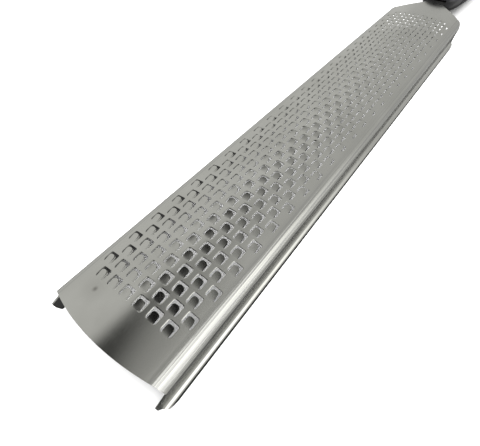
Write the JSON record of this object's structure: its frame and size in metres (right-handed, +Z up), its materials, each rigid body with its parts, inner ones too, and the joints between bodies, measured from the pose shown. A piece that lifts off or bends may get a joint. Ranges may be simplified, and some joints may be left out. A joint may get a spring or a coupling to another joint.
{
  "type": "hand rasp grater",
  "caption": "Long hand-held fine grater: an arched, perforated steel strip with folded side rails and a moulded handle.",
  "frame": {"origin": "centre of the bounding box at its lowest plane, the surface that the tool lies on", "axes": "+Y from the tip of the blade to the end of the handle, +Z up out of the cutting face, +X to the right when looking along +Y"},
  "size_m": [0.0342, 0.325, 0.0203],
  "materials": {
    "blade_steel": "satin, etched",
    "hard_plastic": "semi-gloss black",
    "soft_grip": "matt black, fine texture",
    "core_plastic": "moulded",
    "pin_steel": "turned"
  },
  "bodies": {
    "root": {"blade": "blade_steel", "bolster": "hard_plastic", "grip_sleeve": "soft_grip", "handle_core_upper": "core_plastic", "handle_core_lower": "core_plastic", "tang_pin_front": "pin_steel", "tang_pin_rear": "pin_steel", "end_cap": "hard_plastic", "hanging_eyelet": "pin_steel"}
  },
  "joints": []
}
